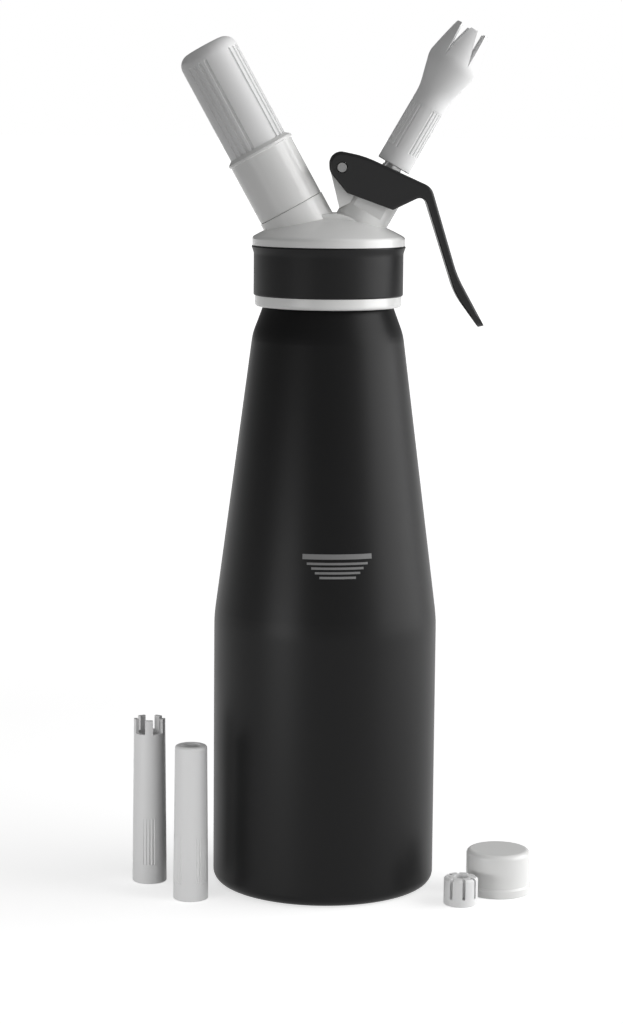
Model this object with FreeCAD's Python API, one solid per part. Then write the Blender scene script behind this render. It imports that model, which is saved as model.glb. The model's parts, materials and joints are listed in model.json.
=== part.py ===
"""Whipped cream dispenser with charger holder, lever valve, tulip nozzle and loose tips.

Millimetres, +Z up.  The origin is the centre of the bottle's base, on the table.  The lever
is towards +X and the front is towards -Y.  The charger axis and the valve axis both start at
a point on the bottle's axis inside the head, and a place on them is given as a distance from
that point.
"""
import FreeCAD, Part
import math
import os

V = FreeCAD.Vector
UP = V(0, 0, 1)

# Bottle
bottle_radius = 45.0
bottle_wall = 1.8
foot_fillet = 4.5
cone_start_z = 109.8
cone_end_z = 224.0
cone_end_radius = 30.15
cone_blend_radius = 60.0
shoulder_z = 236.4
shoulder_blend_radius = 11.0
neck_height = 17.6
neck_bore_radius = 20.5
neck_wall = 2.0
lip_fillet = 0.5

# Threads
thread_root_width_share = 0.52
thread_crest_width_share = 0.20
thread_sink = 0.25
thread_clearance = 0.35
neck_thread_pitch = 5.0
neck_thread_depth = 1.5
neck_thread_turns = 2.2
holder_thread_pitch = 3.0
holder_thread_depth = 1.0
holder_thread_turns = 2.6
nozzle_thread_pitch = 2.0
nozzle_thread_depth = 0.6
nozzle_thread_turns = 3.4

# Clearances
fit_gap = 0.05
running_gap = 0.08
loose_gap = 0.3
face_gap = 0.12

# Head
rim_radius = 29.3
rim_height = 4.4
rim_fillet = 1.4
rim_drop = 1.4
rim_recess_radius = 27.4
band_height = 19.9
band_radius = 29.85
band_lip_radius = 30.7
band_lip_height = 3.0
band_thickness = 2.0
band_fillet = 0.6
dome_edge_radius = 30.4
dome_edge_height = 1.4
dome_edge_fillet = 1.5
dome_top_z = 270.9
dome_sphere_radius = 60.0
gasket_thickness = 2.0
gasket_overhang = 0.5
plinth_half_width = 10.0
plinth_left_x = -14.0
plinth_left_z = 271.6
plinth_flat_x = 4.2
plinth_top_z = 272.3
plinth_right_x = 24.5
plinth_edge_fillet = 1.0

# Charger side, distances from the apex along the charger axis
apex_z = 246.6
charger_lean_deg = 29.0
spigot_radius = 13.7
spigot_shoulder_s = 31.1
spigot_end_s = 44.0
spigot_thread_radius = 10.0
charger_recess_radius = 5.5
charger_recess_s = 26.0
gas_bore_radius = 2.6
gas_pocket_radius = 6.0
gas_pocket_s = 21.0
pin_holder_head = 5.0
pin_holder_stub_s = 13.6
pin_radius = 1.1
pin_length = 11.0
pin_cone = 2.2
gas_hole_radius = 0.6
charger_seal_thickness = 3.0
check_sleeve_wall = 1.1
check_sleeve_length = 4.6
check_nut_radius = 3.6
check_nut_height = 2.2
charger_radius = 9.3
charger_length = 65.5
charger_neck_radius = 4.4
charger_neck_length = 8.6
charger_shoulder_height = 9.0
charger_wall = 1.6
charger_pierce_gap = 0.2

# Charger holder
collar_radius = 13.45
collar_end_s = 57.6
collar_rim_radius = 13.95
collar_rim_height = 1.6
collar_chamfer = 1.0
collar_thread_length = 13.8
grip_radius = 12.1
grip_end_s = 103.3
grip_end_fillet = 5.0
grip_tenon_wall = 1.3
grip_flute_radius = 0.75
grip_flute_depth = 0.6
grip_flute_margin = 6.0
grip_flute_first_deg = -46.0
grip_flute_step_deg = 12.4

# Valve side, distances from the apex along the valve axis
valve_lean_deg = 29.7
valve_spigot_radius = 10.2
valve_spigot_end_s = 38.0
valve_flat_start_s = 30.0
valve_flat_half_width = 8.2
valve_seat_s = 12.0
valve_pocket_radius = 9.0
valve_passage_radius = 5.3
guide_start_s = 24.0
guide_length = 7.0
guide_radius = 6.9
stem_radius = 4.0
stem_bore_radius = 2.2
stem_end_s = 62.0
stem_port_radius = 1.6
stem_port_s = 16.6
stem_shank_radius = 2.5
seal_radius = 7.4
seal_thickness = 3.5
seal_nut_radius = 4.4
seal_nut_height = 2.8
oring_wire_radius = 0.55
spring_wire_radius = 0.5
spring_radius = 5.3
spring_turns = 5.0
thrust_base_s = 42.0
thrust_radius = 5.6
thrust_dome_radius = 8.0
thrust_apex_s = 48.6

# Lever, points as (X, Z, corner radius)
pivot_x = 4.95
pivot_z = 290.2
lever_pin_radius = 2.15
lever_pin_inset = 0.6
ear_radius = 3.75
ear_half_width = 8.2
ear_clearance_x = -7.6
lever_half_width = 10.8
lever_cheek = 2.2
lever_plate = 2.0
lever_crown_fillet = 1.2
lever_crown_reach = 1.4
lever_slot_half_width = 4.5
lever_slot_near_x = -2.6
lever_slot_far_x = 1.1
lever_tail_half_width = 8.7
lever_tip_corner = 6.0
lever_tip_margin = 1.0
lever_top = [(-0.4, 297.5, 4.8), (14.0, 294.6, 40.0), (40.3, 282.8, 6.0)]
lever_tail_outer = [(51.0, 248.0, 45.0), (61.9, 228.3, 0)]
lever_tail_inner = [(59.7, 227.5, 0.6), (50.2, 240.4, 30.0), (37.4, 279.6, 3.0)]
lever_cheek_edge = [(25.3, 273.7, 0), (6.9, 280.3, 0), (0.1, 288.4, 4.5)]

# Tulip nozzle, heights from its lower face
nozzle_start_s = 51.2
nozzle_radius = 7.05
nozzle_waist_radius = 6.9
nozzle_waist_height = 32.3
nozzle_widest_height = 46.0
nozzle_widest_radius = 10.5
nozzle_tip_height = 61.5
nozzle_tip_radius = 7.2
nozzle_wall = 1.5
nozzle_bore_radius = 4.9
nozzle_socket_height = 13.0
nozzle_seal_thickness = 1.6
nozzle_throat_radius = 3.0
nozzle_ring_height = 7.2
nozzle_flute_top = 25.5
nozzle_line_height = 26.2
nozzle_line_depth = 0.15
petal_count = 6
petal_notch_bottom = 47.0
petal_notch_width = 4.8
petal_phase_deg = 3.0
tip_flute_radius = 0.55
tip_flute_depth = 0.4

# Loose pieces on the table
star_tip_place = (-70.9, -6.0)
star_tip_height = 67.8
star_tip_rim_z = 62.0
star_tip_top_radius = 6.35
star_tooth_count = 5
star_tooth_deg = 29.0
star_tooth_phase_deg = 1.5
star_flutes = (8.5, 27.0, -15.0, 11.0, 4)
plain_tip_place = (-52.9, -31.0)
plain_tip_height = 62.5
plain_tip_top_radius = 6.4
plain_tip_hole_radius = 4.1
plain_flutes = (7.6, 25.7, 24.0, 11.0, 4)
tip_foot_radius = 7.0
tip_foot_fillet = 0.5
tip_socket_height = 13.0
tip_wall = 1.4
cap_place = (70.9, -17.0)
cap_height = 17.5
cap_lip_radius = 13.5
cap_lip_height = 3.0
cap_body_radius = 12.9
cap_wall = 1.4
cap_top_fillet = 2.0
adapter_place = (54.9, -35.6)
adapter_radius = 6.8
adapter_height = 11.0
adapter_slots = 8
adapter_slot_width = 1.3
adapter_slot_floor = 3.0
adapter_slot_phase_deg = 8.0
adapter_bore_radius = 3.0
adapter_chamfer = 0.8

# Sizes that follow from the ones above
neck_top_z = shoulder_z + neck_height
neck_root_radius = neck_bore_radius + neck_wall
neck_crest_radius = neck_root_radius + neck_thread_depth
head_bore_radius = neck_crest_radius + thread_clearance
ceiling_z = neck_top_z + gasket_thickness
rim_bottom_z = shoulder_z - rim_drop
band_bottom_z = rim_bottom_z + rim_height
band_top_z = band_bottom_z + band_height
band_seat_radius = band_radius - band_thickness
charger_start_s = charger_recess_s + pin_holder_head + charger_seal_thickness
charger_end_s = charger_start_s + charger_length
holder_bore_radius = charger_radius + loose_gap
spigot_crest_radius = spigot_thread_radius + holder_thread_depth
collar_bore_radius = spigot_crest_radius + thread_clearance
valve_shank_s = valve_seat_s - face_gap
guide_end_s = guide_start_s + guide_length
stem_root_radius = stem_radius - nozzle_thread_depth / 2
stem_crest_radius = stem_root_radius + nozzle_thread_depth
socket_radius = stem_crest_radius + thread_clearance


def revolve(outline):
    """Turn an outline of (radius, height) points and arcs about the Z axis."""
    face = Part.Face(outline)
    return face.revolve(V(0, 0, 0), UP, 360)


def rounded_wire(corners, to_point):
    """Close a wire through (u, v, radius) corners, each rounded with its radius."""
    count = len(corners)
    starts, mids, ends = [], [], []
    for i, (u, v, radius) in enumerate(corners):
        here = V(u, v, 0)
        back = V(corners[i - 1][0], corners[i - 1][1], 0) - here
        ahead = V(corners[(i + 1) % count][0], corners[(i + 1) % count][1], 0) - here
        back.normalize()
        ahead.normalize()
        half = back.getAngle(ahead) / 2
        if radius <= 0 or half > math.radians(89.9):
            starts.append(here)
            mids.append(None)
            ends.append(here)
            continue
        run = radius / math.tan(half)
        bisector = back + ahead
        bisector.normalize()
        starts.append(here + back * run)
        mids.append(here + bisector * (radius / math.sin(half) - radius))
        ends.append(here + ahead * run)
    edges = []
    for i in range(count):
        if mids[i] is not None:
            arc = Part.Arc(to_point(starts[i]), to_point(mids[i]), to_point(ends[i]))
            edges.append(arc.toShape())
        nxt = (i + 1) % count
        if (starts[nxt] - ends[i]).Length > 1e-6:
            edges.append(Part.LineSegment(to_point(ends[i]), to_point(starts[nxt])).toShape())
    return Part.Wire(edges)


def lathe(corners):
    """Revolve a closed outline of (radius, height[, corner radius]) corners."""
    full = [(c[0], c[1], c[2] if len(c) > 2 else 0.0) for c in corners]
    return revolve(rounded_wire(full, lambda p: V(p.x, 0, p.y)))


def tube(outer, inner, low, high):
    """A plain ring between two heights."""
    ring = Part.makeCylinder(outer, high - low, V(0, 0, low))
    return ring.cut(Part.makeCylinder(inner, high - low, V(0, 0, low)))


def rod(radius, low, high):
    """A plain cylinder between two heights."""
    return Part.makeCylinder(radius, high - low, V(0, 0, low))


def hexagon(across, low, high):
    """A hexagonal bar between two heights, by the radius of its corners."""
    corners = [V(across * math.cos(k * math.pi / 3), across * math.sin(k * math.pi / 3), low)
               for k in range(6)]
    return Part.Face(Part.makePolygon(corners + corners[:1])).extrude(V(0, 0, high - low))


def slab(corners, half_width):
    """Extrude an outline of (X, Z, radius) corners to both sides of the XZ plane."""
    wire = rounded_wire(corners, lambda p: V(p.x, -half_width, p.y))
    return Part.Face(wire).extrude(V(0, 2 * half_width, 0))


def thread(wall_radius, depth, pitch, turns, low):
    """A thread ridge on a wall; a positive depth stands outwards, a negative one inwards."""
    root = pitch * thread_root_width_share / 2
    crest = pitch * thread_crest_width_share / 2
    base = wall_radius - math.copysign(thread_sink, depth)
    tip = wall_radius + depth
    spine = Part.Wire(Part.makeHelix(pitch, pitch * turns, wall_radius))
    profile = Part.makePolygon([V(base, 0, -root), V(tip, 0, -crest), V(tip, 0, crest),
                                V(base, 0, root), V(base, 0, -root)])
    ridge = spine.makePipeShell([profile], True, True)
    ridge.translate(V(0, 0, low))
    return ridge


def on_charger_axis(shape):
    """Lay a shape that was made along Z onto the charger axis."""
    shape.Placement = FreeCAD.Placement(
        V(0, 0, apex_z), FreeCAD.Rotation(V(0, 1, 0), -charger_lean_deg)).multiply(shape.Placement)
    return shape


def on_valve_axis(shape):
    """Lay a shape that was made along Z onto the valve axis."""
    shape.Placement = FreeCAD.Placement(
        V(0, 0, apex_z), FreeCAD.Rotation(V(0, 1, 0), valve_lean_deg)).multiply(shape.Placement)
    return shape


def valve_local(x, z):
    """The valve axis' own (across, along) coordinates of a point of the XZ plane."""
    lean = math.radians(valve_lean_deg)
    return (x * math.cos(lean) - (z - apex_z) * math.sin(lean),
            x * math.sin(lean) + (z - apex_z) * math.cos(lean))


def around(degrees, radius):
    """A point at an angle from the front, turning towards +X."""
    angle = math.radians(degrees)
    return V(radius * math.sin(angle), -radius * math.cos(angle), 0)


def flute(radius, depth, degrees, wall, low, high):
    """A round-ended groove cutter that runs up a wall, its own seam turned outwards."""
    bar = rod(radius, low, high)
    for end in (low, high):
        bar = bar.fuse(Part.makeSphere(radius, V(0, 0, end)))
    bar.rotate(V(0, 0, 0), UP, -90)
    bar.translate(V(0, depth - radius - wall, 0))
    bar.rotate(V(0, 0, 0), UP, degrees)
    return bar


def bottle():
    outer = lathe([(0, 0), (bottle_radius, 0, foot_fillet),
                   (bottle_radius, cone_start_z, cone_blend_radius),
                   (cone_end_radius, cone_end_z, shoulder_blend_radius * 2),
                   (cone_end_radius - 4.6, shoulder_z, 2.0),
                   (neck_root_radius, shoulder_z), (neck_root_radius, neck_top_z, lip_fillet),
                   (0, neck_top_z)])
    wall = bottle_wall
    inside = lathe([(0, wall), (bottle_radius - wall, wall, foot_fillet - wall / 2),
                    (bottle_radius - wall, cone_start_z, cone_blend_radius - wall),
                    (cone_end_radius - wall, cone_end_z - wall / 2, shoulder_blend_radius * 2 - wall),
                    (neck_bore_radius, shoulder_z - wall), (neck_bore_radius, neck_top_z + 1),
                    (0, neck_top_z + 1)])
    ridge = thread(neck_root_radius, neck_thread_depth, neck_thread_pitch, neck_thread_turns,
                   shoulder_z + neck_thread_pitch * 0.55)
    return outer.fuse(ridge).cut(inside)


def head_outer():
    """The lathe-turned outside of the head, with the seat for the grip band."""
    edge_z = band_top_z + dome_edge_height
    sag = dome_sphere_radius - math.sqrt(dome_sphere_radius ** 2 - dome_edge_radius ** 2)
    body = lathe([(0, rim_bottom_z), (rim_radius, rim_bottom_z, rim_fillet),
                  (rim_radius, band_bottom_z), (band_seat_radius, band_bottom_z),
                  (band_seat_radius, band_top_z), (dome_edge_radius, band_top_z),
                  (dome_edge_radius, edge_z + dome_edge_fillet), (dome_edge_radius, dome_top_z),
                  (0, dome_top_z)])
    ball = Part.makeSphere(dome_sphere_radius, V(0, 0, dome_top_z - dome_sphere_radius))
    body = body.common(ball)
    crown = [e for e in body.Edges
             if abs(e.BoundBox.ZMin - (dome_top_z - sag)) < 0.01 and e.BoundBox.ZLength < 0.01]
    return body.makeFillet(dome_edge_fillet, crown)


def plinth():
    """The raised ridge on the dome that joins the two spigots."""
    base_z = band_top_z
    corners = [(plinth_left_x, base_z, 0), (plinth_left_x, plinth_left_z, 1.0),
               (plinth_flat_x, plinth_top_z, 12.0), (plinth_right_x, dome_top_z - 6.0, 0),
               (plinth_right_x, base_z, 0)]
    block = slab(corners, plinth_half_width)
    top = [e for e in block.Edges
           if abs(abs(e.CenterOfMass.y) - plinth_half_width) < 0.01 and e.CenterOfMass.z > base_z + 3
           and e.CenterOfMass.x > plinth_left_x + 0.5 and e.CenterOfMass.x < plinth_right_x - 0.5]
    return block.makeFillet(plinth_edge_fillet, top)


def ear():
    """The lug beside the valve spigot that carries the lever's pin, in valve coordinates."""
    px, ps = valve_local(pivot_x, pivot_z)
    top = ps + ear_radius
    corners = [(px - ear_radius, top, ear_radius * 0.98), (ear_clearance_x, top, 1.5),
               (ear_clearance_x, valve_flat_start_s, 0), (-valve_spigot_radius, 26.0, 0),
               (px - ear_radius, ps - ear_radius * 0.8, ear_radius * 0.9)]
    return slab(corners, ear_half_width)


def valve_spigot():
    """The valve spigot with its flats and ear, along Z."""
    spigot = rod(valve_spigot_radius, 0, valve_spigot_end_s)
    height = valve_spigot_end_s - valve_flat_start_s
    depth = valve_spigot_radius
    for side in (-1, 1):
        low_y = valve_flat_half_width if side > 0 else -valve_flat_half_width - depth
        flat = Part.makeBox(2 * depth, depth, height, V(-depth, low_y, valve_flat_start_s))
        spigot = spigot.cut(flat)
    return spigot.fuse(ear())


def charger_spigot():
    """The charger spigot with its thread, along Z."""
    spigot = rod(spigot_radius, 0, spigot_shoulder_s)
    spigot = spigot.fuse(rod(spigot_thread_radius, spigot_shoulder_s - 1, spigot_end_s))
    ridge = thread(spigot_thread_radius, holder_thread_depth, holder_thread_pitch,
                   holder_thread_turns, spigot_shoulder_s + holder_thread_pitch * 0.9)
    return spigot.fuse(ridge)


def head_shell():
    skirt = rod(head_bore_radius, rim_bottom_z - 1, ceiling_z)
    skirt = skirt.fuse(rod(rim_recess_radius, rim_bottom_z - 1, shoulder_z + loose_gap))
    body = head_outer().fuse([plinth()])
    towers = [on_charger_axis(charger_spigot()), on_valve_axis(valve_spigot())]
    below = rod(dome_edge_radius * 2, 0, ceiling_z)
    body = body.fuse([tower.cut(below) for tower in towers]).cut(skirt)
    ridge = thread(head_bore_radius, -neck_thread_depth, neck_thread_pitch, neck_thread_turns,
                   shoulder_z + neck_thread_pitch * 1.05)
    body = body.fuse(ridge)
    gas_way = rod(gas_pocket_radius, 0, gas_pocket_s)
    gas_way = gas_way.fuse([rod(gas_bore_radius, gas_pocket_s - 1, charger_recess_s + 1),
                            rod(charger_recess_radius, charger_recess_s, spigot_end_s + 1)])
    cream_way = rod(valve_pocket_radius, 0, valve_seat_s)
    cream_way = cream_way.fuse([
        rod(valve_passage_radius, valve_seat_s - 1, guide_start_s + 1),
        rod(guide_radius + fit_gap, guide_start_s, valve_spigot_end_s + 1)])
    px, ps = valve_local(pivot_x, pivot_z)
    pin_hole = Part.makeCylinder(lever_pin_radius + fit_gap / 2, 4 * lever_half_width,
                                 V(px, -2 * lever_half_width, ps), V(0, 1, 0))
    body = body.cut(on_valve_axis(pin_hole))
    for way in (on_charger_axis(gas_way), on_valve_axis(cream_way)):
        body = body.cut(way.cut(tube(dome_edge_radius * 2, neck_crest_radius, 0, ceiling_z)))
    return body


def grip_band():
    return lathe([(band_seat_radius + fit_gap, band_bottom_z + fit_gap),
                  (band_radius, band_bottom_z + fit_gap, band_fillet),
                  (band_radius, band_top_z - band_lip_height, 4.0),
                  (band_lip_radius, band_top_z - band_fillet, 0.3),
                  (band_lip_radius - 0.3, band_top_z - fit_gap, 0.2),
                  (band_seat_radius + fit_gap, band_top_z - fit_gap)])


def head_gasket():
    return tube(head_bore_radius - loose_gap, neck_bore_radius - gasket_overhang,
                neck_top_z, ceiling_z)


def piercing_pin():
    """The needle that opens the charger."""
    low = charger_recess_s + 0.5
    shank = rod(pin_radius, low, low + pin_length - pin_cone)
    point = Part.makeCone(pin_radius, 0.15, pin_cone, V(0, 0, low + pin_length - pin_cone))
    return shank.fuse(point)


def pin_holder():
    """The brass seat of the pin, with the gas way through its stub."""
    high = charger_recess_s + pin_holder_head
    body = rod(charger_recess_radius - fit_gap, charger_recess_s, high)
    body = body.fuse(rod(gas_bore_radius - fit_gap, pin_holder_stub_s - check_nut_height,
                         charger_recess_s))
    body = body.cut(rod(pin_radius + fit_gap / 2, charger_recess_s + 0.5, high))
    sleeve_mid = pin_holder_stub_s + check_sleeve_length / 2
    body = body.cut(rod(gas_hole_radius, sleeve_mid, charger_recess_s + 1))
    cross = Part.makeCylinder(gas_hole_radius, 4 * gas_bore_radius,
                              V(0, -2 * gas_bore_radius, sleeve_mid), V(0, 1, 0))
    side_way = Part.makeCylinder(gas_hole_radius, pin_holder_head,
                                 V(pin_radius + gas_hole_radius * 2, 0, charger_recess_s + 0.5))
    return body.cut([cross, side_way])


def check_valve_sleeve():
    low = pin_holder_stub_s + fit_gap
    return tube(gas_bore_radius + check_sleeve_wall, gas_bore_radius,
                low, low + check_sleeve_length)


def check_valve_nut():
    nut = hexagon(check_nut_radius, pin_holder_stub_s - check_nut_height, pin_holder_stub_s)
    return nut.cut(rod(gas_bore_radius, 0, spigot_end_s))


def charger_seal():
    low = charger_recess_s + pin_holder_head
    return tube(charger_recess_radius - fit_gap, pin_radius + loose_gap,
                low, low + charger_seal_thickness)


def gas_charger():
    """The steel gas cartridge, hollow, with the hole that the pin has made."""
    start, end = charger_start_s, charger_end_s
    neck_s = start + charger_neck_length
    body_s = neck_s + charger_shoulder_height
    outer = lathe([(0, start), (charger_neck_radius, start, 0.6),
                   (charger_neck_radius, neck_s, 3.0), (charger_radius, body_s, 6.0),
                   (charger_radius, end, charger_radius * 0.98), (0, end)])
    wall = charger_wall
    inside = lathe([(0, start + wall), (charger_neck_radius - wall, start + wall),
                    (charger_neck_radius - wall, neck_s + wall / 2, 3.0),
                    (charger_radius - wall, body_s + wall / 2, 5.0),
                    (charger_radius - wall, end - wall, (charger_radius - wall) * 0.98),
                    (0, end - wall)])
    pierced = rod(pin_radius + charger_pierce_gap, start - 1, start + wall + 1)
    return outer.cut(inside).cut(pierced)


def charger_grip():
    """The fluted outer half of the charger holder."""
    tenon_radius = holder_bore_radius + grip_tenon_wall
    tenon_s = spigot_end_s + 2.0
    shell = lathe([(0, tenon_s), (tenon_radius, tenon_s), (tenon_radius, collar_end_s),
                   (grip_radius, collar_end_s), (grip_radius, grip_end_s, grip_end_fillet),
                   (0, grip_end_s)])
    bore = lathe([(0, tenon_s - 1), (holder_bore_radius, tenon_s - 1),
                  (holder_bore_radius, charger_end_s + loose_gap, charger_radius * 0.98),
                  (0, charger_end_s + loose_gap)])
    shell = shell.cut(bore)
    cutters = []
    for group in range(4):
        for k in range(4):
            angle = grip_flute_first_deg + 90 * group + grip_flute_step_deg * k
            cutters.append(flute(grip_flute_radius, grip_flute_depth, angle, grip_radius,
                                 collar_end_s, grip_end_s - grip_flute_margin))
    return shell.cut(cutters)


def holder_collar():
    """The glossy threaded lower half of the charger holder."""
    low = spigot_shoulder_s + face_gap
    rim_low = collar_end_s - collar_rim_height
    tenon_radius = holder_bore_radius + grip_tenon_wall + fit_gap
    outer = lathe([(0, low), (collar_radius, low, 0.4), (collar_radius, rim_low),
                   (collar_rim_radius, rim_low + 0.4), (collar_rim_radius, collar_end_s - 0.4),
                   (grip_radius + 0.1, collar_end_s + collar_chamfer),
                   (grip_radius + 0.1, collar_end_s), (0, collar_end_s)])
    bore = rod(collar_bore_radius, low - 1, low + collar_thread_length)
    bore = bore.fuse(rod(tenon_radius, low, collar_end_s + 1))
    ridge = thread(collar_bore_radius, -holder_thread_depth, holder_thread_pitch,
                   holder_thread_turns, spigot_shoulder_s + holder_thread_pitch * 1.4)
    return outer.cut(bore).fuse(ridge)


def valve_guide():
    return tube(guide_radius, stem_radius + running_gap, guide_start_s, guide_end_s)


def stem_oring():
    ring = Part.makeTorus(stem_radius + loose_gap / 3 + oring_wire_radius, oring_wire_radius,
                          V(0, 0, guide_start_s - oring_wire_radius - fit_gap))
    return ring


def valve_stem():
    """The hollow stem that the lever pushes in, threaded for the nozzle."""
    thread_s = nozzle_start_s - 1.0
    shank_s = valve_shank_s - seal_thickness - seal_nut_height
    body = rod(stem_radius, valve_shank_s, thread_s)
    body = body.fuse([rod(stem_shank_radius, shank_s, valve_shank_s + 1),
                      rod(stem_root_radius, thread_s - 1, stem_end_s)])
    ridge = thread(stem_root_radius, nozzle_thread_depth, nozzle_thread_pitch,
                   nozzle_thread_turns, nozzle_start_s + nozzle_thread_pitch)
    body = body.fuse(ridge)
    way = rod(stem_bore_radius, stem_port_s - stem_port_radius, stem_end_s + 1)
    ports = [Part.makeCylinder(stem_port_radius, 4 * stem_radius, V(0, 0, stem_port_s)
                               - axis * (2 * stem_radius), axis)
             for axis in (V(1, 0, 0), V(0, 1, 0))]
    return body.cut([way] + ports)


def piston_seal():
    return tube(seal_radius, stem_shank_radius + fit_gap, valve_shank_s - seal_thickness,
                valve_shank_s)


def piston_seal_nut():
    high = valve_shank_s - seal_thickness
    nut = hexagon(seal_nut_radius, high - seal_nut_height, high)
    return nut.cut(rod(stem_shank_radius + fit_gap, 0, high))


def valve_spring():
    """The coil that pushes the stem out, between the guide and the thrust collar."""
    low = guide_end_s + spring_wire_radius + fit_gap
    high = thrust_base_s - spring_wire_radius - fit_gap
    pitch = (high - low) / spring_turns
    print("spring least gap", round(pitch - 2 * spring_wire_radius, 2))
    spine = Part.Wire(Part.makeHelix(pitch, high - low, spring_radius))
    section = Part.Wire(Part.makeCircle(spring_wire_radius, V(spring_radius, 0, 0), V(0, 1, 0)))
    coil = spine.makePipeShell([section], True, True)
    coil.translate(V(0, 0, low))
    return coil


def thrust_collar():
    """The domed collar on the stem that the lever bears on."""
    base = rod(thrust_radius, thrust_base_s, thrust_apex_s)
    ball = Part.makeSphere(thrust_dome_radius, V(0, 0, thrust_apex_s - thrust_dome_radius))
    return base.common(ball).cut(rod(stem_radius + fit_gap, 0, stem_end_s))


def lever_pin():
    reach = lever_half_width - lever_pin_inset
    pin = Part.makeCylinder(lever_pin_radius, 2 * reach, V(pivot_x, -reach, pivot_z), V(0, 1, 0))
    return pin.makeChamfer(0.3, [e for e in pin.Edges if e.Closed and len(e.Vertexes) == 1])


def distance_to_chain(point, chain):
    """How far a point lies, in the XZ plane, from the lines through (X, Z, radius) corners."""
    best = 1e9
    for (x1, z1, _), (x2, z2, _) in zip(chain, chain[1:]):
        run = V(x2 - x1, 0, z2 - z1)
        offset = V(point.x - x1, 0, point.z - z1)
        share = min(1, max(0, offset.dot(run) / run.Length ** 2))
        best = min(best, (offset - run * share).Length)
    return best


def plan_sheet(corners, reach):
    """A block whose outline of (Y, Z, radius) corners is the lever seen from its free side."""
    wire = rounded_wire(corners, lambda p: V(-reach, p.x, p.y))
    return Part.Face(wire).extrude(V(2 * reach, 0, 0))


def lever():
    """The bent channel lever, pivoted at its left end, with a slot for the stem."""
    outline = lever_top + lever_tail_outer + lever_tail_inner + lever_cheek_edge
    body = slab(outline, lever_half_width)
    tip_x = lever_tail_outer[-1][0]
    low_z = lever_tail_inner[0][1] - lever_tip_margin
    top_z = lever_top[0][1] + lever_tip_margin
    wide, thin = lever_half_width, lever_tail_half_width
    plan = [(-thin, low_z), (thin, low_z), (wide, top_z), (-wide, top_z)]
    reach = 2 * tip_x
    body = body.common(plan_sheet([(y, z, 0) for y, z in plan], reach))
    chain = lever_cheek_edge[-1:] + lever_top + lever_tail_outer
    crown = [e for e in body.Edges if abs(e.CenterOfMass.y) > lever_tip_corner
             and distance_to_chain(e.CenterOfMass, chain) < lever_crown_reach]
    body = body.makeFillet(lever_crown_fillet, crown)
    tip_z = low_z + lever_tip_margin
    body = body.common(plan_sheet([(-thin, tip_z, lever_tip_corner), (thin, tip_z, lever_tip_corner),
                                   (wide, top_z, 0), (-wide, top_z, 0)], reach))
    inner = lever_half_width - lever_cheek
    (ax, az, _), (bx, bz, br), _ = lever_top
    drop = lever_plate
    knee_x, knee_z, _ = lever_tail_inner[-1]
    open_x = ax - lever_half_width
    open_z = lever_cheek_edge[0][1] - lever_half_width
    hollow = [(open_x, az - drop, 0), (ax, az - drop, 0), (bx - drop * 0.3, bz - drop, br),
              (knee_x, knee_z + drop * 0.8, 1.0), (knee_x, open_z, 0), (open_x, open_z, 0)]
    body = body.cut(slab(hollow, inner))
    px, ps = pivot_x, pivot_z
    bore = Part.makeCylinder(lever_pin_radius + running_gap, 4 * wide, V(px, -2 * wide, ps),
                             V(0, 1, 0))
    low, high = thrust_base_s, nozzle_start_s
    near, far = lever_slot_near_x, lever_slot_far_x
    half = lever_slot_half_width
    slot = Part.makeBox(far - near, 2 * half, high - low, V(near, -half, low))
    slot = slot.fuse([Part.makeCylinder(half, high - low, V(x, 0, low)) for x in (near, far)])
    return body.cut([bore, on_valve_axis(slot)])


def socket_thread(low):
    """The thread ridge inside a tip's socket."""
    return thread(socket_radius, -nozzle_thread_depth, nozzle_thread_pitch,
                  nozzle_thread_turns, low)


def flutes_on(body, wall, low, high, first, step, count):
    """Cut four groups of flutes round a tip."""
    cutters = []
    for group in range(4):
        for k in range(count):
            cutters.append(flute(tip_flute_radius, tip_flute_depth, first + 90 * group + step * k,
                                 wall, low, high))
    return body.cut(cutters)


def tulip_nozzle():
    """The mounted nozzle, made along Z with its lower face at height 0."""
    tip = nozzle_tip_height
    outer = lathe([(0, 0), (nozzle_radius, 0, 0.4), (nozzle_waist_radius, nozzle_waist_height, 20.0),
                   (nozzle_widest_radius, nozzle_widest_height, 9.0), (nozzle_tip_radius, tip, 0.3),
                   (0, tip)])
    wall = nozzle_wall
    throat = nozzle_socket_height + nozzle_seal_thickness
    inside = lathe([(0, throat), (nozzle_throat_radius, throat),
                    (nozzle_throat_radius, throat + 2), (nozzle_bore_radius, throat + 5),
                    (nozzle_waist_radius - wall, nozzle_waist_height, 18.0),
                    (nozzle_widest_radius - wall, nozzle_widest_height, 8.0),
                    (nozzle_tip_radius - wall, tip + 0.01), (0, tip + 0.01)])
    socket = rod(socket_radius, -1, throat)
    body = outer.cut([inside, socket])
    line = tube(nozzle_radius + 1, nozzle_waist_radius - nozzle_line_depth,
                nozzle_line_height, nozzle_line_height + nozzle_line_depth * 2)
    body = body.cut(line)
    notches = []
    half = petal_notch_width / 2
    for k in range(petal_count):
        angle = petal_phase_deg + 180 / petal_count + k * 360 / petal_count
        wedge = Part.Face(Part.makePolygon([
            V(-half, 0, tip + 1), V(half, 0, tip + 1), V(0, 0, petal_notch_bottom),
            V(-half, 0, tip + 1)])).extrude(V(0, -2 * nozzle_widest_radius, 0))
        wedge.rotate(V(0, 0, 0), UP, angle)
        notches.append(wedge)
    body = body.cut(notches)
    body = flutes_on(body, nozzle_radius, nozzle_ring_height, nozzle_flute_top, -66.0, 14.0, 4)
    return body.fuse(socket_thread(nozzle_thread_pitch * 1.5))


def nozzle_seal():
    low = nozzle_start_s + nozzle_socket_height
    return tube(socket_radius - fit_gap, stem_bore_radius, low, low + nozzle_seal_thickness)


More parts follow.
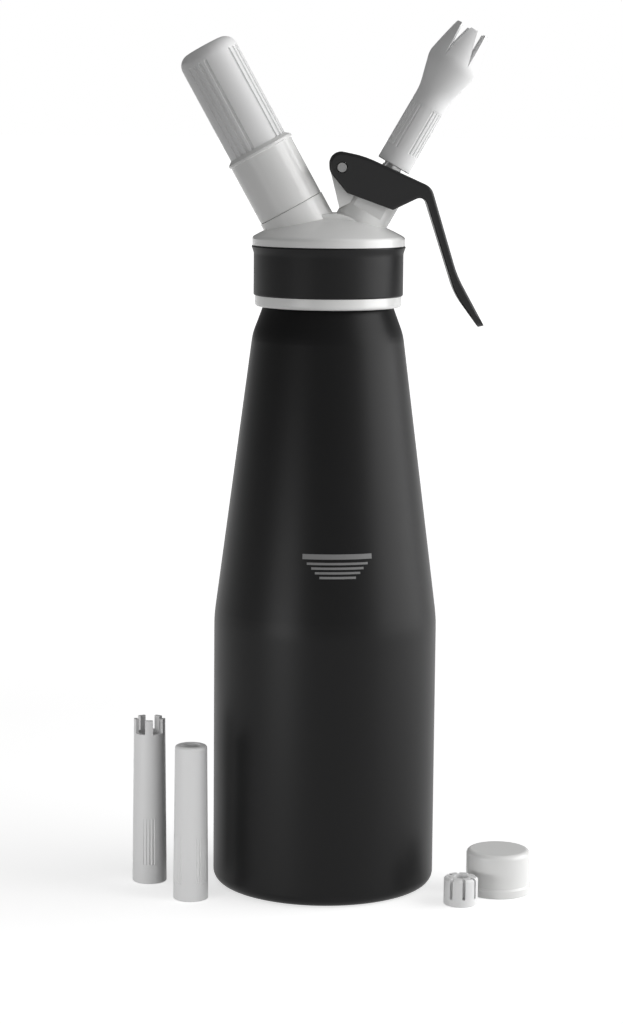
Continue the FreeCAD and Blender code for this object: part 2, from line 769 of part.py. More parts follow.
def tip_body(height, top_radius, hole_radius, rim_fillet_radius):
    """A straight tapered tip with a threaded socket in its foot."""
    outer = lathe([(0, 0), (tip_foot_radius, 0, tip_foot_fillet),
                   (top_radius, height, rim_fillet_radius), (0, height)])
    inside = lathe([(0, tip_socket_height), (hole_radius * 0.75, tip_socket_height),
                    (hole_radius * 0.75, tip_socket_height + 2),
                    (hole_radius, tip_socket_height + 5), (hole_radius, height + 1),
                    (0, height + 1)])
    return outer.cut([inside, rod(socket_radius, -1, tip_socket_height)])


def spare_star_tip():
    body = tip_body(star_tip_height, star_tip_top_radius, star_tip_top_radius - tip_wall, 0.0)
    gap_deg = 360 / star_tooth_count - star_tooth_deg
    reach = 2 * star_tip_top_radius
    cutters = []
    for k in range(star_tooth_count):
        start = star_tooth_phase_deg + star_tooth_deg / 2 + k * 360 / star_tooth_count
        corners = [V(0, 0, star_tip_rim_z), around(start, reach) + UP * star_tip_rim_z,
                   around(start + gap_deg, reach) + UP * star_tip_rim_z, V(0, 0, star_tip_rim_z)]
        cutters.append(Part.Face(Part.makePolygon(corners)).extrude(UP * star_tip_height))
    body = body.cut(cutters)
    low, high, first, step, count = star_flutes
    body = flutes_on(body, tip_foot_radius, low, high, first, step, count)
    body = body.fuse(socket_thread(nozzle_thread_pitch * 1.5))
    body.translate(V(*star_tip_place, 0))
    return body


def spare_plain_tip():
    body = tip_body(plain_tip_height, plain_tip_top_radius, plain_tip_hole_radius, 1.2)
    low, high, first, step, count = plain_flutes
    body = flutes_on(body, tip_foot_radius, low, high, first, step, count)
    body = body.fuse(socket_thread(nozzle_thread_pitch * 1.5))
    body.translate(V(*plain_tip_place, 0))
    return body


def protective_cap():
    """The cap for the charger spigot's thread, standing on its open end."""
    outer = lathe([(0, 0), (cap_lip_radius, 0, 0.4), (cap_lip_radius, cap_lip_height, 0.4),
                   (cap_body_radius, cap_lip_height + 0.8), (cap_body_radius, cap_height, cap_top_fillet),
                   (0, cap_height)])
    hollow = rod(cap_body_radius - cap_wall, -1, cap_height - cap_wall)
    body = outer.cut(hollow)
    body.translate(V(*cap_place, 0))
    return body


def tip_adapter():
    """The slotted bush that holds a piping tip."""
    outer = lathe([(0, 0), (adapter_radius, 0, 0.3), (adapter_radius, adapter_height - adapter_chamfer),
                   (adapter_radius - adapter_chamfer, adapter_height), (0, adapter_height)])
    body = outer.cut(rod(adapter_bore_radius, -1, adapter_height + 1))
    slots = []
    for k in range(adapter_slots):
        slot = Part.makeBox(adapter_slot_width, adapter_radius + 1, adapter_height,
                            V(-adapter_slot_width / 2, -adapter_radius - 1, adapter_slot_floor))
        slot = slot.cut(rod(adapter_bore_radius + 1.2, 0, adapter_height * 2))
        slot.rotate(V(0, 0, 0), UP, adapter_slot_phase_deg + k * 360 / adapter_slots)
        slots.append(slot)
    body = body.cut(slots)
    body.translate(V(*adapter_place, 0))
    return body


def nozzle_in_place():
    body = tulip_nozzle()
    body.translate(V(0, 0, nozzle_start_s))
    return on_valve_axis(body)


def main():
    pieces = {
        "bottle": bottle(),
        "head_shell": head_shell(),
        "grip_band": grip_band(),
        "head_gasket": head_gasket(),
        "pin_holder": on_charger_axis(pin_holder()),
        "piercing_pin": on_charger_axis(piercing_pin()),
        "charger_seal": on_charger_axis(charger_seal()),
        "check_valve_sleeve": on_charger_axis(check_valve_sleeve()),
        "check_valve_nut": on_charger_axis(check_valve_nut()),
        "gas_charger": on_charger_axis(gas_charger()),
        "charger_grip": on_charger_axis(charger_grip()),
        "holder_collar": on_charger_axis(holder_collar()),
        "valve_guide": on_valve_axis(valve_guide()),
        "stem_oring": on_valve_axis(stem_oring()),
        "valve_spring": on_valve_axis(valve_spring()),
        "valve_stem": on_valve_axis(valve_stem()),
        "piston_seal": on_valve_axis(piston_seal()),
        "piston_seal_nut": on_valve_axis(piston_seal_nut()),
        "thrust_collar": on_valve_axis(thrust_collar()),
        "lever": lever(),
        "lever_pin": lever_pin(),
        "tulip_nozzle": nozzle_in_place(),
        "nozzle_seal": on_valve_axis(nozzle_seal()),
        "spare_star_tip": spare_star_tip(),
        "spare_plain_tip": spare_plain_tip(),
        "protective_cap": protective_cap(),
        "tip_adapter": tip_adapter(),
    }
    os.makedirs("parts", exist_ok=True)
    for name, shape in pieces.items():
        solids = shape.Solids
        print(name, "solids", len(solids), "valid", shape.isValid(), "volume", round(shape.Volume, 1))
        solid = solids[0] if len(solids) == 1 else Part.Compound(solids)
        solid.exportStep("parts/" + name + ".step")


main()
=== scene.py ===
"""The looks of the whipped cream dispenser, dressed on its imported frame."""
import json
import math

import bpy
from mathutils import Matrix, Vector


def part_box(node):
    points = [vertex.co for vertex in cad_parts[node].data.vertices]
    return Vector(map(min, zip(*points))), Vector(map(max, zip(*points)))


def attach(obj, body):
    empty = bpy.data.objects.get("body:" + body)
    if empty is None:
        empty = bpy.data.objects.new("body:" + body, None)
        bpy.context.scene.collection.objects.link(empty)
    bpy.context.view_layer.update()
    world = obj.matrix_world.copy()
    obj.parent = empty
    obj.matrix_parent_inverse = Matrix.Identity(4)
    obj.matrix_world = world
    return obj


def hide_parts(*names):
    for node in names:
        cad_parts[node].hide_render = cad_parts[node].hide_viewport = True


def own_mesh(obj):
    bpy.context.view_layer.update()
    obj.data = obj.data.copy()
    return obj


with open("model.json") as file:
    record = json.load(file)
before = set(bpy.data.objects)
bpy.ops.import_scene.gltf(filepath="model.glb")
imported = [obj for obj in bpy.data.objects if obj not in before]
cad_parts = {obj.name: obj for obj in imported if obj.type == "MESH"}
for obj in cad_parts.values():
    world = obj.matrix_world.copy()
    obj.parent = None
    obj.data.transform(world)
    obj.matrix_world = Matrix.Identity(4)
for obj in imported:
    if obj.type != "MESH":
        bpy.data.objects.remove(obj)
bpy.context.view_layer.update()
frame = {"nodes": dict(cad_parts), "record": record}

bl_info = {
    "name": "Cream dispenser looks",
    "version": (1, 0, 0),
    "blender": (4, 5, 0),
    "location": "3D View > Sidebar > Dispenser",
    "description": "Dresses the frame of a whipped cream dispenser and sets its studio",
    "category": "Object",
}

MM = 0.001

# The bottle, as the frame has it.
BOTTLE_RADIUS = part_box("bottle")[1].x
BOTTLE_WALL = 1.8 * MM
SKIN = BOTTLE_WALL * 0.6
FOOT_TOP = 6.5 * MM
CONE_START_Z = 109.8 * MM
CONE_SLOPE = 0.13004
CONE_ZERO = BOTTLE_RADIUS + CONE_SLOPE * CONE_START_Z
SHOULDER_BEND_Z = 222 * MM
NECK_Z = 236.3 * MM
CHARGER_LEAN_DEG = -29.0
VALVE_LEAN_DEG = 29.7

# The fill mark: one thick bar over four thin ones, each as long as its chord.
THICK_BAR = (2.0 * MM, 27.3 * MM)
THIN_BAR = 0.9 * MM
THIN_CHORDS = (23.9 * MM, 20.6 * MM, 17.7 * MM, 14.2 * MM)
BAND_FACES = 720

# The floor glows white to the camera, less so near the object, where it keeps a shadow.
FLOOR_SIZE = 900
FLOOR_COLOUR = (0.62, 0.62, 0.62, 1)
FLOOR_GLOW = 0.66
FLOOR_NEAR = 0.35
FLOOR_FAR = 1.6

# Each lamp's place, target, width and height in metres.
KEY_LAMP = ((1.17, -0.08, 0.5), (0, 0, 0.2), 1.4, 1.2)
FILL_LAMP = ((-0.5, -0.5, 0.1), (-0.07, -0.02, 0.03), 0.4, 0.16)
FILL_SPREAD = math.radians(50)


class DispenserFinish(bpy.types.PropertyGroup):
    """Colours and surface values of the finishes."""

    coat_colour: bpy.props.FloatVectorProperty(
        name="Bottle coat", description="Soft black coat of the bottle", subtype="COLOR",
        size=4, min=0, max=1, default=(0.008, 0.008, 0.0083, 1))
    coat_roughness: bpy.props.FloatProperty(
        name="Coat roughness", description="How dull the bottle's coat is", default=0.4)
    lever_colour: bpy.props.FloatVectorProperty(
        name="Lever coat", description="Dark grey coat of the lever", subtype="COLOR",
        size=4, min=0, max=1, default=(0.016, 0.016, 0.0165, 1))
    gloss_white: bpy.props.FloatVectorProperty(
        name="Glossy white", description="Head, holder collar and cap", subtype="COLOR",
        size=4, min=0, max=1, default=(0.84, 0.84, 0.83, 1))
    matte_white: bpy.props.FloatVectorProperty(
        name="Matte white", description="Grip, nozzle and tips", subtype="COLOR",
        size=4, min=0, max=1, default=(0.84, 0.84, 0.84, 1))
    silicone_black: bpy.props.FloatVectorProperty(
        name="Black silicone", description="Grip band of the head", subtype="COLOR",
        size=4, min=0, max=1, default=(0.010, 0.010, 0.0104, 1))
    print_grey: bpy.props.FloatVectorProperty(
        name="Print", description="Grey of the fill mark", subtype="COLOR",
        size=4, min=0, max=1, default=(0.19, 0.19, 0.19, 1))


class DispenserMarks(bpy.types.PropertyGroup):
    """Sizes of the printed fill mark."""

    mark_angle: bpy.props.FloatProperty(
        name="Mark angle", description="Turn of the mark's middle from the front to the lever",
        subtype="ANGLE", default=math.radians(6.3))
    top_height: bpy.props.FloatProperty(
        name="Mark height", description="Height of the thick top bar", unit="LENGTH",
        default=140.1 * MM)
    bar_pitch: bpy.props.FloatProperty(
        name="Bar pitch", description="Step from one thin bar to the next", unit="LENGTH",
        default=1.8 * MM)
    print_thickness: bpy.props.FloatProperty(
        name="Print thickness", description="How far the print stands proud", unit="LENGTH",
        default=0.08 * MM)


class DispenserSpring(bpy.types.PropertyGroup):
    """Sizes of the valve's spring, measured along the valve's leaning axis."""

    wire: bpy.props.FloatProperty(
        name="Wire radius", description="Half the wire's thickness", unit="LENGTH",
        default=0.5 * MM)
    radius: bpy.props.FloatProperty(
        name="Coil radius", description="From the axis to the middle of the wire",
        unit="LENGTH", default=5.3 * MM)
    turns: bpy.props.FloatProperty(
        name="Turns", description="How many turns the coil has", default=5.0)
    base: bpy.props.FloatProperty(
        name="Base", description="Middle of the wire at the foot of the coil", unit="LENGTH",
        default=31.55 * MM)
    top: bpy.props.FloatProperty(
        name="Top", description="Middle of the wire at the top of the coil", unit="LENGTH",
        default=41.45 * MM)
    travel: bpy.props.FloatProperty(
        name="Travel", description="How far the stem's joint can push the top down",
        unit="LENGTH", default=3.65 * MM)
    lean: bpy.props.FloatProperty(
        name="Lean", description="Lean of the valve's axis towards the lever",
        subtype="ANGLE", default=math.radians(VALVE_LEAN_DEG))
    apex: bpy.props.FloatProperty(
        name="Apex height", description="Where the valve's axis meets the bottle's axis",
        unit="LENGTH", default=246.6 * MM)


class DispenserStage(bpy.types.PropertyGroup):
    """Camera and light values."""

    camera_place: bpy.props.FloatVectorProperty(
        name="Camera", description="Where the camera stands", unit="LENGTH", size=3,
        default=(-5.9 * MM, -1055.8 * MM, 302.2 * MM))
    camera_tilt: bpy.props.FloatProperty(
        name="Tilt", description="How far the camera looks down", subtype="ANGLE",
        default=math.radians(8.1))
    camera_roll: bpy.props.FloatProperty(
        name="Roll", description="Turn of the camera about its own line of sight",
        subtype="ANGLE", default=math.radians(0.51))
    camera_lens: bpy.props.FloatProperty(
        name="Lens", description="Focal length in millimetres", default=92.8)
    key_power: bpy.props.FloatProperty(
        name="Key light", description="Power of the large lamp on the right", default=18.5)
    fill_power: bpy.props.FloatProperty(
        name="Fill light", description="Power of the lamp in front on the left", default=0.17)
    room_level: bpy.props.FloatProperty(
        name="Room light", description="Brightness of the plain room light", default=0.36)


def new_material(name):
    """An empty node material with a Principled shader on its output."""
    material = bpy.data.materials.new(name)
    material.use_nodes = True
    tree = material.node_tree
    tree.nodes.clear()
    output = tree.nodes.new("ShaderNodeOutputMaterial")
    shader = tree.nodes.new("ShaderNodeBsdfPrincipled")
    tree.links.new(shader.outputs["BSDF"], output.inputs["Surface"])
    return material, tree, shader


def math_node(tree, operation, first, second=None, clamp=False):
    """A Math node on sockets or numbers; returns its output."""
    node = tree.nodes.new("ShaderNodeMath")
    node.operation = operation
    node.use_clamp = clamp
    for socket, value in zip(node.inputs, (first, second)):
        if value is None:
            continue
        if isinstance(value, (int, float)):
            socket.default_value = value
        else:
            tree.links.new(value, socket)
    return node.outputs[0]


def object_coordinates(tree, stretch=(1, 1, 1), turn=(0, 0, 0)):
    """Object coordinates through a Mapping node."""
    coordinates = tree.nodes.new("ShaderNodeTexCoord")
    mapping = tree.nodes.new("ShaderNodeMapping")
    mapping.inputs["Scale"].default_value = stretch
    mapping.inputs["Rotation"].default_value = turn
    tree.links.new(coordinates.outputs["Object"], mapping.inputs["Vector"])
    return mapping.outputs["Vector"]


def noise(tree, vector, grain, detail=3.0):
    """Noise whose features are about one grain across, in metres."""
    node = tree.nodes.new("ShaderNodeTexNoise")
    node.inputs["Scale"].default_value = 1 / grain
    node.inputs["Detail"].default_value = detail
    tree.links.new(vector, node.inputs["Vector"])
    return node.outputs["Fac"]


def spread(tree, value, low, high, start=0.0, end=1.0):
    """Map a value between start and end to a range."""
    node = tree.nodes.new("ShaderNodeMapRange")
    node.inputs["From Min"].default_value = start
    node.inputs["From Max"].default_value = end
    node.inputs["To Min"].default_value = low
    node.inputs["To Max"].default_value = high
    tree.links.new(value, node.inputs["Value"])
    return node.outputs["Result"]


def tinted(tree, value, colour, swing):
    """A colour that varies a little with a value."""
    mix = tree.nodes.new("ShaderNodeMix")
    mix.data_type = "RGBA"
    dark = [c * (1 - swing) for c in colour[:3]] + [1]
    light = [min(1, c * (1 + swing)) for c in colour[:3]] + [1]
    mix.inputs["A"].default_value = dark
    mix.inputs["B"].default_value = light
    tree.links.new(value, mix.inputs["Factor"])
    return mix.outputs["Result"]


def bump(tree, shader, height, depth, strength):
    """Surface relief of a depth in metres."""
    node = tree.nodes.new("ShaderNodeBump")
    node.inputs["Strength"].default_value = strength
    node.inputs["Distance"].default_value = depth
    tree.links.new(height, node.inputs["Height"])
    tree.links.new(node.outputs["Normal"], shader.inputs["Normal"])


def moulded(name, colour, roughness, swing, grain, depth, strength, specular=0.5):
    """A moulded or coated surface: fine grain, faint mottling and uneven dullness."""
    material, tree, shader = new_material(name)
    vector = object_coordinates(tree)
    fine = noise(tree, vector, grain)
    broad = noise(tree, vector, grain * 40, 2.0)
    tree.links.new(tinted(tree, broad, colour, swing), shader.inputs["Base Color"])
    dull = spread(tree, broad, roughness * 0.92, roughness * 1.08)
    tree.links.new(dull, shader.inputs["Roughness"])
    shader.inputs["Specular IOR Level"].default_value = specular
    bump(tree, shader, fine, depth, strength)
    return material


def turned_metal(name, colour, roughness, lean_deg=0.0):
    """Turned metal with fine tool rings round an axis that leans in the XZ plane."""
    material, tree, shader = new_material(name)
    vector = object_coordinates(tree, (60, 60, 6000), (0, math.radians(-lean_deg), 0))
    rings = noise(tree, vector, 1.0, 2.0)
    tree.links.new(tinted(tree, rings, colour, 0.06), shader.inputs["Base Color"])
    dull = spread(tree, rings, roughness * 0.8, roughness * 1.2)
    tree.links.new(dull, shader.inputs["Roughness"])
    shader.inputs["Metallic"].default_value = 1.0
    bump(tree, shader, rings, 0.01 * MM, 0.3)
    return material


def bare_metal(tree):
    """The brushed metal under the bottle's coat."""
    metal = tree.nodes.new("ShaderNodeBsdfPrincipled")
    metal.inputs["Metallic"].default_value = 1.0
    rings = noise(tree, object_coordinates(tree, (40, 40, 4000)), 1.0, 2.0)
    tree.links.new(tinted(tree, rings, (0.62, 0.62, 0.63, 1), 0.05), metal.inputs["Base Color"])
    tree.links.new(spread(tree, rings, 0.26, 0.4), metal.inputs["Roughness"])
    bump(tree, metal, rings, 0.01 * MM, 0.3)
    return metal


def uncoated(tree):
    """One inside the bottle and on its neck, and zero on the coated outside."""
    place = tree.nodes.new("ShaderNodeSeparateXYZ")
    tree.links.new(object_coordinates(tree), place.inputs["Vector"])
    x, y, z = place.outputs
    squares = [math_node(tree, "MULTIPLY", side, side) for side in (x, y)]
    radius = math_node(tree, "SQRT", math_node(tree, "ADD", *squares))
    cone = math_node(tree, "SUBTRACT", CONE_ZERO, math_node(tree, "MULTIPLY", z, CONE_SLOPE))
    outside = math_node(tree, "MINIMUM", cone, BOTTLE_RADIUS)
    inset = math_node(tree, "MAXIMUM", SKIN, math_node(tree, "SUBTRACT", FOOT_TOP, z))
    inner = math_node(tree, "LESS_THAN", radius, math_node(tree, "SUBTRACT", outside, inset))
    above_floor = math_node(tree, "GREATER_THAN", z, SKIN)
    below_shoulder = math_node(tree, "LESS_THAN", z, SHOULDER_BEND_Z)
    inside = math_node(tree, "MULTIPLY", math_node(tree, "MULTIPLY", inner, above_floor),
                       below_shoulder)
    neck = math_node(tree, "GREATER_THAN", z, NECK_Z)
    return math_node(tree, "MAXIMUM", inside, neck)


def bottle_coat(finish):
    """The bottle's black coat, with bare brushed metal inside and on the threaded neck."""
    material, tree, coat = new_material("bottle_coat")
    vector = object_coordinates(tree)
    fine = noise(tree, vector, 0.22 * MM)
    broad = noise(tree, vector, 14 * MM, 2.0)
    tree.links.new(tinted(tree, broad, finish.coat_colour, 0.05), coat.inputs["Base Color"])
    rough = finish.coat_roughness
    tree.links.new(spread(tree, broad, rough * 0.95, rough * 1.05), coat.inputs["Roughness"])
    coat.inputs["Specular IOR Level"].default_value = 0.17
    bump(tree, coat, fine, 0.02 * MM, 0.25)
    blend = tree.nodes.new("ShaderNodeMixShader")
    tree.links.new(uncoated(tree), blend.inputs["Fac"])
    tree.links.new(coat.outputs["BSDF"], blend.inputs[1])
    tree.links.new(bare_metal(tree).outputs["BSDF"], blend.inputs[2])
    output = tree.nodes["Material Output"]
    tree.links.new(blend.outputs["Shader"], output.inputs["Surface"])
    return material


def cone_radius(height):
    """The bottle's outer radius at a height on its cone."""
    return CONE_ZERO - CONE_SLOPE * height


def finishes(scene):
    """Every finish by the record's slot, and the finishes of the lever's pin and the print."""
    finish = scene.dispenser_finish
    return {
        "bottle_coat": bottle_coat(finish),
        "head_white": moulded("head_gloss_white", finish.gloss_white, 0.22, 0.012,
                              0.5 * MM, 0.01 * MM, 0.12),
        "grip_silicone": moulded("band_silicone", finish.silicone_black, 0.45, 0.08,
                                 0.12 * MM, 0.02 * MM, 0.3, 0.19),
        "seal_silicone": moulded("seal_pale_silicone", (0.6, 0.6, 0.57, 1), 0.5, 0.03,
                                 0.3 * MM, 0.02 * MM, 0.2),
        "seal_black": moulded("seal_black_rubber", (0.02, 0.02, 0.02, 1), 0.6, 0.08,
                              0.2 * MM, 0.02 * MM, 0.3),
        "brass": turned_metal("turned_brass", (0.70, 0.50, 0.22, 1), 0.3, CHARGER_LEAN_DEG),
        "steel": turned_metal("turned_steel", (0.56, 0.56, 0.56, 1), 0.28, VALVE_LEAN_DEG),
        "charger_steel": turned_metal("plated_charger_steel", (0.66, 0.66, 0.66, 1), 0.24,
                                      CHARGER_LEAN_DEG),
        "grip_white": moulded("grip_matte_white", finish.matte_white, 0.48, 0.012,
                              0.35 * MM, 0.015 * MM, 0.3),
        "lever_grey": moulded("lever_satin_grey", finish.lever_colour, 0.4, 0.06,
                              0.25 * MM, 0.02 * MM, 0.25, 0.3),
        "tip_white": moulded("tip_matte_white", finish.matte_white, 0.42, 0.012,
                             0.35 * MM, 0.012 * MM, 0.25),
        "pin": turned_metal("dark_pin_steel", (0.3, 0.3, 0.3, 1), 0.3),
        "print": moulded("fill_mark_print", finish.print_grey, 0.55, 0.04,
                         0.2 * MM, 0.01 * MM, 0.2),
    }


def only(piece):
    """Select one object alone and make it active."""
    bpy.ops.object.select_all(action="DESELECT")
    piece.select_set(True)
    bpy.context.view_layer.objects.active = piece


def finish_piece(piece, name, body, material):
    """Name a new piece, settle its place in its mesh, give it its finish and its body."""
    only(piece)
    bpy.ops.object.transform_apply(location=True, rotation=True, scale=True)
    piece.name = name
    piece.data.name = name
    piece.data.materials.clear()
    piece.data.materials.append(material)
    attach(piece, body)


def apply_modifier(piece, name, kind, **settings):
    """Add a modifier, set it and apply it."""
    only(piece)
    modifier = piece.modifiers.new(name, kind)
    for key, value in settings.items():
        setattr(modifier, key, value)
    bpy.ops.object.modifier_apply(modifier=modifier.name)


class DISPENSER_OT_dress_nodes(bpy.types.Operator):
    """Give every carried-over piece of the frame its finish"""

    bl_idname = "dispenser.dress_nodes"
    bl_label = "Dress the frame's pieces"

    def execute(self, context):
        materials = finishes(context.scene)
        slots = {row["node"]: row["material_slot"] for row in frame["record"]["subparts"]}
        slots["lever_pin"] = "pin"
        for name, node in frame["nodes"].items():
            node.data.materials.clear()
            node.data.materials.append(materials[slots[name]])
        return {"FINISHED"}


class DISPENSER_OT_valve_spring(bpy.types.Operator):
    """Wind the valve's spring at its rest length, in place of the frame's spring"""

    bl_idname = "dispenser.valve_spring"
    bl_label = "Wind the valve spring"

    def execute(self, context):
        spring = context.scene.dispenser_spring
        height = spring.top - spring.base
        bpy.ops.object.select_all(action="DESELECT")
        bpy.ops.mesh.primitive_circle_add(
            vertices=14, radius=spring.wire, location=(spring.radius, 0, 0),
            rotation=(math.radians(90), 0, 0))
        coil = bpy.context.active_object
        bpy.ops.object.transform_apply(location=True, rotation=True, scale=True)
        steps = int(spring.turns * 40)
        apply_modifier(coil, "wind", "SCREW", axis="Z", angle=math.tau * spring.turns,
                       screw_offset=height, steps=steps, render_steps=steps)
        bpy.ops.object.mode_set(mode="EDIT")
        bpy.ops.mesh.select_all(action="SELECT")
        bpy.ops.mesh.fill_holes(sides=0)
        bpy.ops.mesh.normals_make_consistent(inside=False)
        bpy.ops.object.mode_set(mode="OBJECT")
        bpy.ops.object.shade_smooth()
        axis = Vector((math.sin(spring.lean), 0, math.cos(spring.lean)))
        apex = Vector((0, 0, spring.apex))
        coil.rotation_euler = (0, spring.lean, 0)
        coil.location = apex + axis * spring.base
        finish_piece(coil, "valve_spring_coil", "head", bpy.data.materials["turned_steel"])
        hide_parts("valve_spring")
        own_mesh(coil)
        return {"FINISHED"}


class DISPENSER_OT_fill_mark(bpy.types.Operator):
    """Print the fill mark's bars on the bottle's cone"""

    bl_idname = "dispenser.fill_mark"
    bl_label = "Print the fill mark"

    def execute(self, context):
        marks = context.scene.dispenser_marks
        grey = bpy.data.materials["fill_mark_print"]
        bars = [(marks.top_height, *THICK_BAR)]
        for k, chord in enumerate(THIN_CHORDS):
            height = marks.top_height - THIN_BAR - marks.bar_pitch * (k + 1)
            bars.append((height, THIN_BAR, chord))
        for k, (height, thickness, chord) in enumerate(bars):
            self.bar(marks, height, thickness, chord, "fill_bar_%d" % (k + 1), grey)
        return {"FINISHED"}

    def bar(self, marks, height, thickness, chord, name, grey):
        """One bar: the part of a thin cone band that spans its chord."""
        base = cone_radius(height)
        rise = CONE_SLOPE * thickness / 2
        proud = marks.print_thickness / 4
        bpy.ops.object.select_all(action="DESELECT")
        bpy.ops.mesh.primitive_cone_add(
            vertices=BAND_FACES, radius1=base + rise + proud, radius2=base - rise + proud,
            depth=thickness, end_fill_type="NOTHING", location=(0, 0, height))
        piece = bpy.context.active_object
        bpy.ops.object.mode_set(mode="EDIT")
        bpy.ops.mesh.select_all(action="DESELECT")
        bpy.ops.object.mode_set(mode="OBJECT")
        half = math.asin(chord / 2 / base)
        for face in piece.data.polygons:
            angle = math.atan2(face.center.x, -face.center.y) - marks.mark_angle
            face.select = abs(angle) > half
        bpy.ops.object.mode_set(mode="EDIT")
        bpy.ops.mesh.select_mode(type="FACE")
        bpy.ops.mesh.delete(type="FACE")
        bpy.ops.object.mode_set(mode="OBJECT")
        apply_modifier(piece, "print", "SOLIDIFY", thickness=marks.print_thickness, offset=1.0)
        finish_piece(piece, name, "bottle", grey)


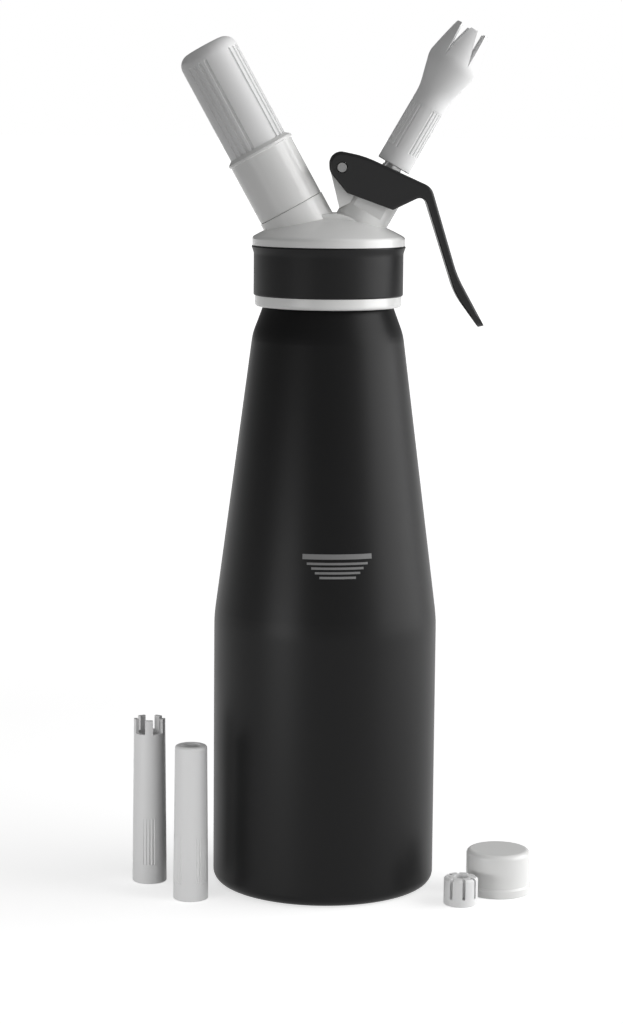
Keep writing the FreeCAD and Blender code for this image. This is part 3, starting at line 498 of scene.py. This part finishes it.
class DISPENSER_OT_stage(bpy.types.Operator):
    """Set the floor, the lamps, the room light and the camera"""

    bl_idname = "dispenser.stage"
    bl_label = "Set the stage"

    def execute(self, context):
        stage = context.scene.dispenser_stage
        self.floor()
        self.room(context.scene, stage)
        self.lamps(stage)
        self.camera(context.scene, stage)
        context.scene.view_settings.view_transform = "Standard"
        return {"FINISHED"}

    def floor(self):
        """A pale floor that keeps the object's soft shadow."""
        bpy.ops.object.select_all(action="DESELECT")
        bpy.ops.mesh.primitive_plane_add(size=FLOOR_SIZE, location=(0, 0, 0))
        ground = bpy.context.active_object
        ground.name = "floor"
        material = bpy.data.materials.new("floor_white")
        material.use_nodes = True
        tree = material.node_tree
        tree.nodes.clear()
        output = tree.nodes.new("ShaderNodeOutputMaterial")
        lit = tree.nodes.new("ShaderNodeBsdfDiffuse")
        lit.inputs["Color"].default_value = FLOOR_COLOUR
        glow = tree.nodes.new("ShaderNodeEmission")
        length = tree.nodes.new("ShaderNodeVectorMath")
        length.operation = "LENGTH"
        tree.links.new(object_coordinates(tree), length.inputs[0])
        far = spread(tree, length.outputs["Value"], FLOOR_GLOW, 1.0, FLOOR_NEAR, FLOOR_FAR)
        path = tree.nodes.new("ShaderNodeLightPath")
        seen = math_node(tree, "ADD", path.outputs["Is Camera Ray"],
                         path.outputs["Is Glossy Ray"])
        seen = math_node(tree, "ADD", seen, path.outputs["Is Transmission Ray"], True)
        seen = math_node(tree, "MULTIPLY", seen, far)
        tree.links.new(seen, glow.inputs["Strength"])
        both = tree.nodes.new("ShaderNodeAddShader")
        tree.links.new(lit.outputs["BSDF"], both.inputs[0])
        tree.links.new(glow.outputs["Emission"], both.inputs[1])
        tree.links.new(both.outputs["Shader"], output.inputs["Surface"])
        ground.data.materials.append(material)

    def room(self, scene, stage):
        """White where the camera looks, and a plain light that is dimmer on the left."""
        world = bpy.data.worlds.new("studio")
        world.use_nodes = True
        tree = world.node_tree
        tree.nodes.clear()
        output = tree.nodes.new("ShaderNodeOutputWorld")
        path = tree.nodes.new("ShaderNodeLightPath")
        white = tree.nodes.new("ShaderNodeBackground")
        white.inputs["Color"].default_value = (1, 1, 1, 1)
        plain = tree.nodes.new("ShaderNodeBackground")
        plain.inputs["Strength"].default_value = stage.room_level
        where = tree.nodes.new("ShaderNodeTexCoord")
        split = tree.nodes.new("ShaderNodeSeparateXYZ")
        tree.links.new(where.outputs["Generated"], split.inputs["Vector"])
        side = spread(tree, split.outputs["X"], 0.3, 1.0, start=-1.0)
        above = spread(tree, split.outputs["Z"], 0.0, 0.35, start=0.3)
        level = math_node(tree, "ADD", side, above)
        tree.links.new(level, plain.inputs["Color"])
        pick = tree.nodes.new("ShaderNodeMixShader")
        tree.links.new(path.outputs["Is Camera Ray"], pick.inputs["Fac"])
        tree.links.new(plain.outputs["Background"], pick.inputs[1])
        tree.links.new(white.outputs["Background"], pick.inputs[2])
        tree.links.new(pick.outputs["Shader"], output.inputs["Surface"])
        scene.world = world

    def lamps(self, stage):
        """A large lamp on the right and a weak one in front on the left."""
        self.lamp("key_right", KEY_LAMP, stage.key_power)
        low = self.lamp("fill_left", FILL_LAMP, stage.fill_power)
        low.spread = FILL_SPREAD

    def lamp(self, name, layout, power):
        """An area lamp that faces its target; returns its data."""
        place, target, width, height = layout
        direction = Vector(target) - Vector(place)
        turn = direction.to_track_quat("-Z", "Y").to_euler()
        bpy.ops.object.select_all(action="DESELECT")
        bpy.ops.object.light_add(type="AREA", location=place, rotation=turn)
        light = bpy.context.active_object
        light.name = name
        light.data.shape = "RECTANGLE"
        light.data.size = width
        light.data.size_y = height
        light.data.energy = power
        return light.data

    def camera(self, scene, stage):
        """The camera where the photograph was taken from."""
        bpy.ops.object.select_all(action="DESELECT")
        bpy.ops.object.camera_add()
        camera = bpy.context.active_object
        camera.name = "camera"
        tilt = Matrix.Rotation(math.radians(90) - stage.camera_tilt, 4, "X")
        roll = Matrix.Rotation(stage.camera_roll, 4, "Z")
        camera.matrix_world = Matrix.Translation(stage.camera_place) @ tilt @ roll
        camera.data.sensor_width = 36
        camera.data.lens = stage.camera_lens
        scene.camera = camera


class DISPENSER_PT_looks(bpy.types.Panel):
    """The panel that lists the sizes, the colours and the steps"""

    bl_idname = "DISPENSER_PT_looks"
    bl_label = "Cream dispenser"
    bl_space_type = "VIEW_3D"
    bl_region_type = "UI"
    bl_category = "Dispenser"

    def draw(self, context):
        scene = context.scene
        for group in (getattr(scene, name) for name in GROUPS):
            box = self.layout.box()
            for name in group.__annotations__:
                box.prop(group, name)
        for operator in STEPS:
            self.layout.operator(operator.bl_idname)


GROUPS = {
    "dispenser_finish": DispenserFinish,
    "dispenser_marks": DispenserMarks,
    "dispenser_spring": DispenserSpring,
    "dispenser_stage": DispenserStage,
}
STEPS = (DISPENSER_OT_dress_nodes, DISPENSER_OT_valve_spring, DISPENSER_OT_fill_mark,
         DISPENSER_OT_stage)


def register():
    for name, group in GROUPS.items():
        bpy.utils.register_class(group)
        setattr(bpy.types.Scene, name, bpy.props.PointerProperty(type=group))
    for step in STEPS:
        bpy.utils.register_class(step)
    bpy.utils.register_class(DISPENSER_PT_looks)


def unregister():
    bpy.utils.unregister_class(DISPENSER_PT_looks)
    for step in reversed(STEPS):
        bpy.utils.unregister_class(step)
    for name, group in GROUPS.items():
        delattr(bpy.types.Scene, name)
        bpy.utils.unregister_class(group)


def main():
    """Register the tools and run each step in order."""
    register()
    bpy.ops.dispenser.dress_nodes()
    bpy.ops.dispenser.valve_spring()
    bpy.ops.dispenser.fill_mark()
    bpy.ops.dispenser.stage()


if __name__ == "__main__":
    main()
